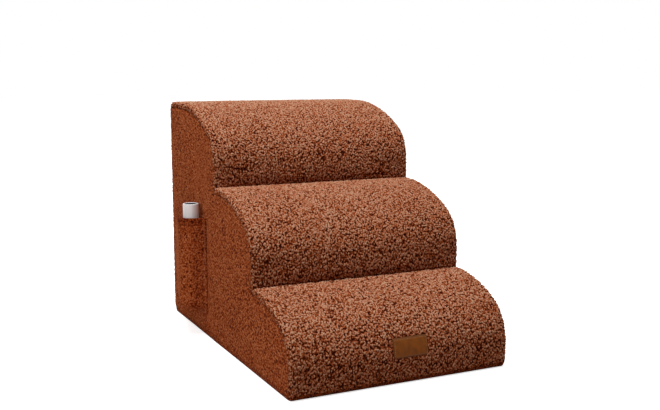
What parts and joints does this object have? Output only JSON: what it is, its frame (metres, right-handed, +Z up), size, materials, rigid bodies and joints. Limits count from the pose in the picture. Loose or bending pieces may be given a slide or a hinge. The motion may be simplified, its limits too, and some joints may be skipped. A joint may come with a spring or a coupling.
{
  "type": "pet stairs",
  "caption": "Soft foam steps for a pet in a zipped plush cover, with waterfall noses, a side pocket that holds a lint roller, and a grippy base.",
  "frame": {"origin": "middle of the cover's footprint, on the floor", "axes": "+X to the right seen from the front, +Y towards the tall back, +Z up"},
  "size_m": [0.4335, 0.6068, 0.426],
  "materials": {
    "foam": "open-cell polyurethane foam, cream",
    "tread_plush": "curly sherpa pile, rust brown",
    "side_plush": "finer sherpa pile, rust brown",
    "base_cloth": "woven polyester with printed rubber dots, charcoal",
    "label_leather": "smooth brown leather patch, bare",
    "zipper_tape": "woven polyester tape, brown",
    "zipper_teeth": "moulded acetal teeth, brown",
    "zipper_metal": "antique brass",
    "white_plastic": "moulded polypropylene, white",
    "axle_plastic": "moulded acetal, natural white",
    "black_lining": "moulded rubber, black",
    "core_board": "spiral-wound board, plain",
    "sticky_paper": "adhesive paper sheets, white"
  },
  "bodies": {
    "stairs": {"foam_tier_1": "foam", "foam_tier_2": "foam", "foam_tier_3": "foam", "tread_panel_1": "tread_plush", "tread_panel_2": "tread_plush", "tread_panel_3": "tread_plush", "left_side_panel": "side_plush", "right_side_panel": "side_plush", "back_flap_panel": "side_plush", "back_border_panel": "side_plush", "base_cloth": "base_cloth", "pocket_panel": "side_plush", "label_patch": "label_leather", "zipper_tape_inner": "zipper_tape", "zipper_tape_outer": "zipper_tape", "zipper_teeth_inner": "zipper_teeth", "zipper_teeth_outer": "zipper_teeth", "zipper_stops": "zipper_metal"},
    "lint_roller": {"roller_handle": "white_plastic", "handle_lining": "black_lining", "roller_axle": "axle_plastic", "spool_cap": "white_plastic"},
    "sticky_roll": {"roller_spool": "white_plastic", "paper_core": "core_board", "sticky_sheets": "sticky_paper"},
    "zipper_slider_body": {"zipper_slider": "zipper_metal"},
    "zipper_pull_body": {"zipper_pull": "zipper_metal"}
  },
  "joints": [
    {"name": "roller_lift", "type": "slide", "parent": "stairs", "child": "lint_roller", "axis": [0, 0, 1], "range_m": [0, 0.18]},
    {"name": "sticky_roll_spin", "type": "hinge", "parent": "lint_roller", "child": "sticky_roll", "pos_m": [-0.2148, 0.1097, 0.115], "axis": [0, 0, 1], "continuous": true},
    {"name": "zipper_slide", "type": "slide", "parent": "stairs", "child": "zipper_slider_body", "axis": [0, 0, -1], "range_m": [0, 0.25]},
    {"name": "zipper_pull_swing", "type": "hinge", "parent": "zipper_slider_body", "child": "zipper_pull_body", "pos_m": [0.155, 0.3038, 0.352], "axis": [1, 0, 0], "range_deg": [0, 165]}
  ]
}
